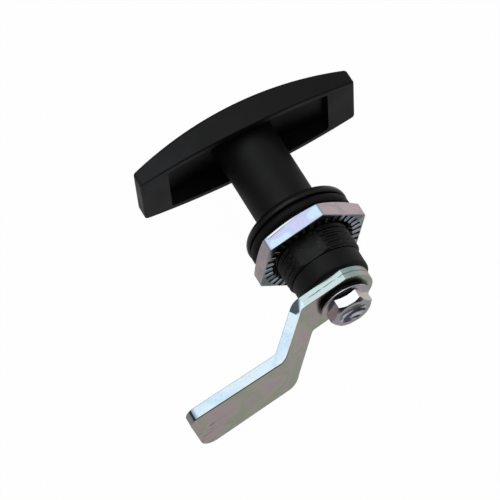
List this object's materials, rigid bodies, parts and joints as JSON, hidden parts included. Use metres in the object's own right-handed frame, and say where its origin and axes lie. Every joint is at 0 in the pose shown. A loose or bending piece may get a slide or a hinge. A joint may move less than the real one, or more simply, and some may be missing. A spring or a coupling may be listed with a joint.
{
  "type": "quarter-turn lock",
  "caption": "Quarter-turn panel lock: T-handle on a long stem, flanged threaded housing with gasket and toothed nut, and a cranked cam held by a flanged bolt.",
  "frame": {"origin": "centre of the flange's rear face, on the turning axis: the plane that the panel's gasket lies on", "axes": "+Y along the turning axis, from the handle towards the cam; +X along the handle bar, towards its end on the side that the cam's arm points to at rest; +Z across the bar, the side that the arm turns towards"},
  "size_m": [0.0766, 0.0637, 0.0377],
  "materials": {
    "black_coat": "satin black coating on a die casting",
    "plated_steel": "bright zinc plating",
    "plated_zinc": "bright plating, faintly iridescent",
    "plated_cam": "zinc plating on sheet steel",
    "spring_steel": "plain",
    "black_rubber": "matt",
    "white_plastic": "matt"
  },
  "bodies": {
    "housing_body": {"housing": "black_coat", "flange_gasket": "black_rubber", "mounting_nut": "plated_zinc", "disc_spring": "spring_steel"},
    "rotor": {"t_handle": "black_coat", "spindle": "plated_steel", "thrust_washer": "white_plastic", "spindle_seal": "black_rubber", "retaining_ring": "spring_steel", "stop_collar": "black_coat", "cam": "plated_cam", "spring_washer": "spring_steel", "cam_bolt": "plated_steel"}
  },
  "joints": [
    {"name": "quarter_turn", "type": "hinge", "parent": "housing_body", "child": "rotor", "pos_m": [0, 0, 0], "axis": [0, -1, 0], "range_deg": [0, 90]}
  ]
}
